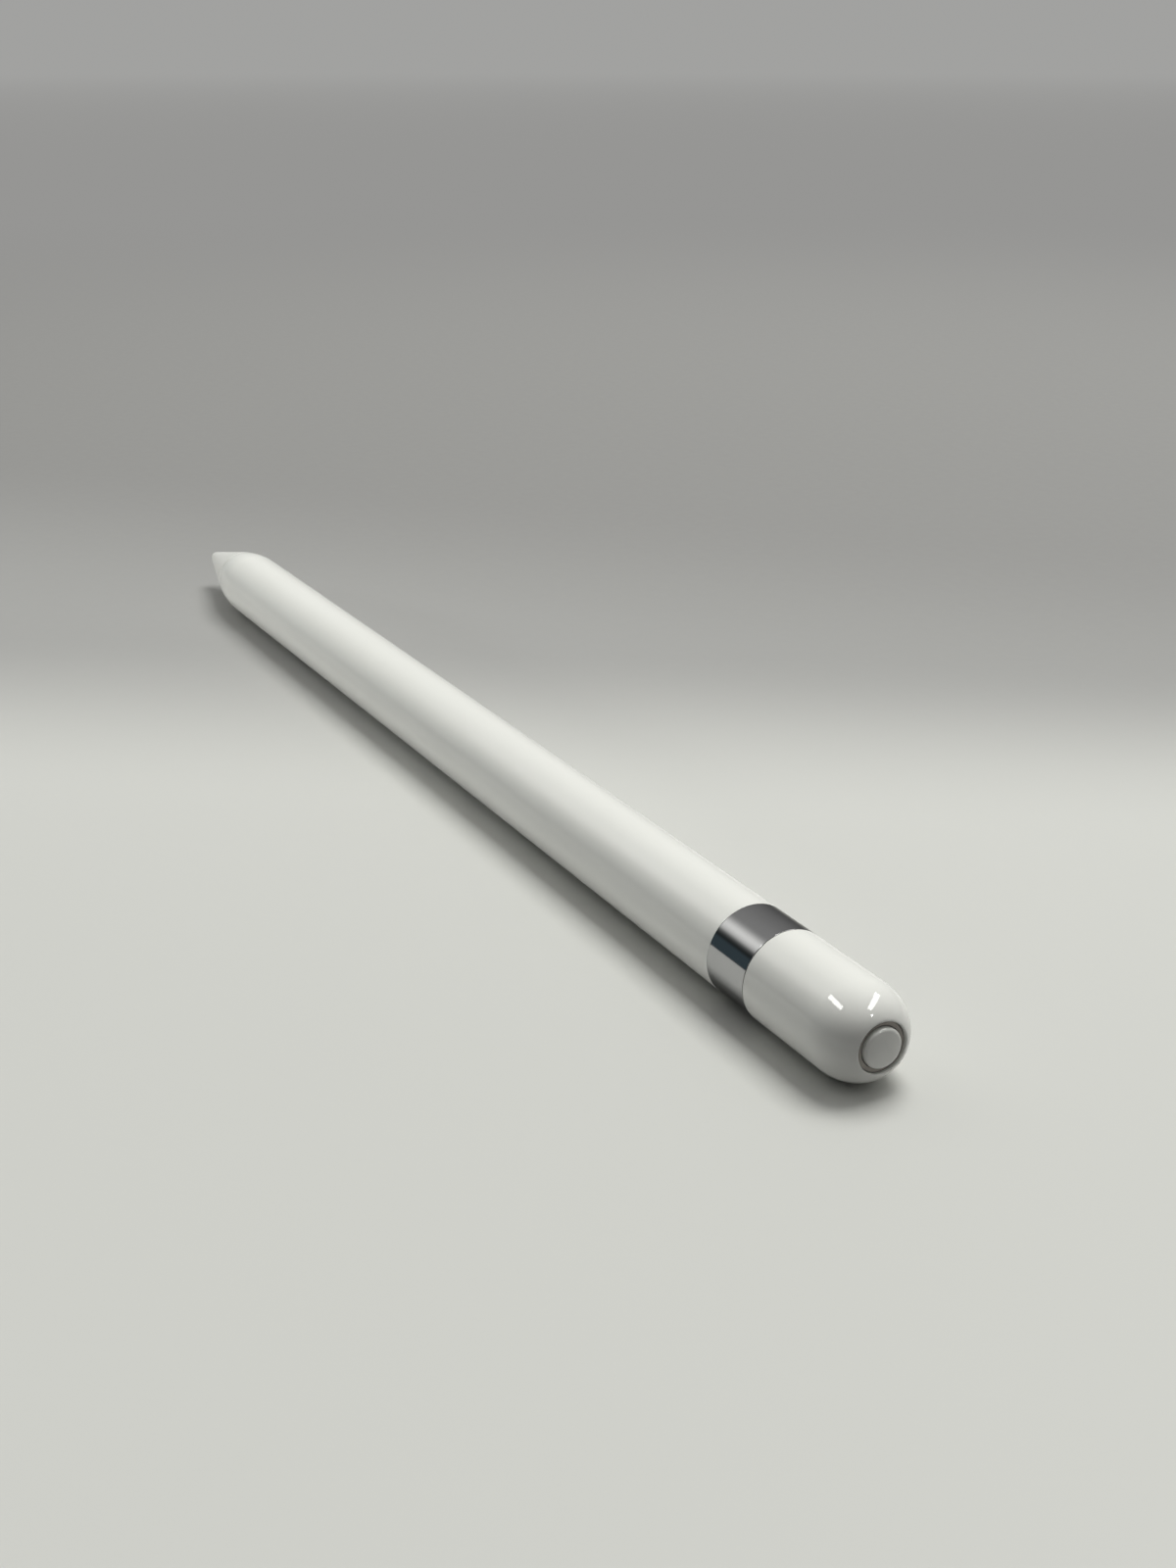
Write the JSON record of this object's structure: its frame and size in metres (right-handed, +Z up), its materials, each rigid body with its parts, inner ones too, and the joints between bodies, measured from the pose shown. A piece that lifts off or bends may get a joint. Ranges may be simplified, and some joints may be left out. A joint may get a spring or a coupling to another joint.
{
  "type": "tablet stylus",
  "caption": "Gloss white tablet stylus with a screw-on tapered nib, a polished band and a magnetic pull-off cap over its charging plug.",
  "frame": {"origin": "middle of the stylus, on the surface that the barrel rests on", "axes": "+X along the barrel towards the cap, so the nib points to -X; +Z up, away from the heavier side"},
  "size_m": [0.1756, 0.0088, 0.0089],
  "materials": {
    "white_gloss": "polished, clear gloss",
    "polished_band": "mirror polished",
    "dark_trim": "polished, dark",
    "machined_steel": "turned",
    "spring_steel": "bright rolled",
    "frame_steel": "satin",
    "tinned_sheet": "tinned",
    "plug_steel": "satin plated",
    "gilded_brass": "gold plated",
    "copper_sheet": "bright copper",
    "amber_plastic": "moulded",
    "grey_plastic": "moulded",
    "black_plastic": "moulded",
    "green_board": "solder mask",
    "orange_flex": "polyimide film",
    "battery_can": "drawn can",
    "nickel_magnet": "nickel plated"
  },
  "bodies": {
    "barrel": {"barrel": "white_gloss", "nose_bush": "grey_plastic", "tilt_electrode": "copper_sheet", "sensor_housing": "machined_steel", "sensor_flexure": "spring_steel", "flexure_clamp": "machined_steel", "sensor_board": "green_board", "sensor_cable": "orange_flex", "inner_frame": "frame_steel", "lower_board": "green_board", "upper_board": "green_board", "board_fold": "orange_flex", "board_shield": "tinned_sheet", "board_chips": "black_plastic", "battery_cell": "battery_can", "battery_cap": "black_plastic", "battery_tabs": "tinned_sheet", "spine_cable": "orange_flex", "antenna_coax": "black_plastic", "antenna_holder": "grey_plastic", "antenna": "copper_sheet", "plug_carrier": "white_gloss", "carrier_magnets": "nickel_magnet", "band": "polished_band", "plug_shell": "plug_steel", "plug_insert": "black_plastic", "plug_contacts": "gilded_brass"},
    "post": {"sensor_post": "machined_steel", "post_insulator": "amber_plastic", "contact_pin": "gilded_brass", "post_collar": "machined_steel"},
    "nib_core": {"nib_core": "gilded_brass"},
    "nib": {"nib_shell": "white_gloss"},
    "cap_ring": {"cap_ring": "machined_steel"},
    "cap": {"cap_shell": "white_gloss", "cap_end_ring": "dark_trim", "cap_end_disc": "white_gloss"}
  },
  "joints": [
    {"name": "nib_press", "type": "slide", "parent": "barrel", "child": "post", "axis": [1, 0, 0], "range_m": [0, 0.0001], "stiffness_N_per_m": 20000, "deforming": ["sensor_flexure"]},
    {"name": "nib_advance", "type": "slide", "parent": "post", "child": "nib_core", "axis": [-1, 0, 0], "range_m": [0, 0.0036]},
    {"name": "nib_turn", "type": "hinge", "parent": "nib_core", "child": "nib", "pos_m": [-0.07855, 0, 0.00445], "axis": [-1, 0, 0], "range_deg": [0, 2160]},
    {"name": "cap_pull", "type": "slide", "parent": "barrel", "child": "cap_ring", "axis": [1, 0, 0], "range_m": [0, 0.015]},
    {"name": "cap_turn", "type": "hinge", "parent": "cap_ring", "child": "cap", "pos_m": [0.08015, 0, 0.00445], "axis": [1, 0, 0], "continuous": true}
  ],
  "couplings": [
    {"joint": "nib_turn", "follows": "nib_advance", "rad_per_m": 10472}
  ]
}
